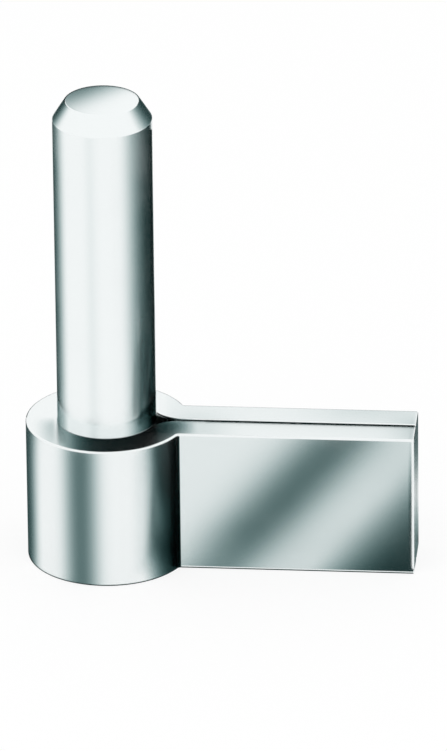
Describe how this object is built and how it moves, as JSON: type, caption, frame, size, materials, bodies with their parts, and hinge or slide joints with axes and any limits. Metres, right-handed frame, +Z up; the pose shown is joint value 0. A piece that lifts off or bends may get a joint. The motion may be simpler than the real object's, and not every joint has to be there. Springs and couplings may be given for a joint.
{
  "type": "gate hinge pin",
  "caption": "Weld-on hinge pin: a round upright pin held in the eye of a flat steel strap folded round it, for a gate's strap hinge to hang and turn on.",
  "frame": {"origin": "on the pin's axis, in the plane of the top of the eye where the gate's hinge rests", "axes": "+Z up along the pin towards its tip, +X along the leaves towards their cut ends, Y across the two leaves"},
  "size_m": [0.0631, 0.0262, 0.08],
  "materials": {
    "strap_steel": "cold-rolled flat bar, bright",
    "pin_steel": "drawn and turned bar, bright",
    "weld_steel": "as welded and wire-brushed, satin"
  },
  "bodies": {
    "root": {"folded_strap": "strap_steel", "hinge_pin": "pin_steel", "foot_weld": "weld_steel"}
  },
  "joints": []
}
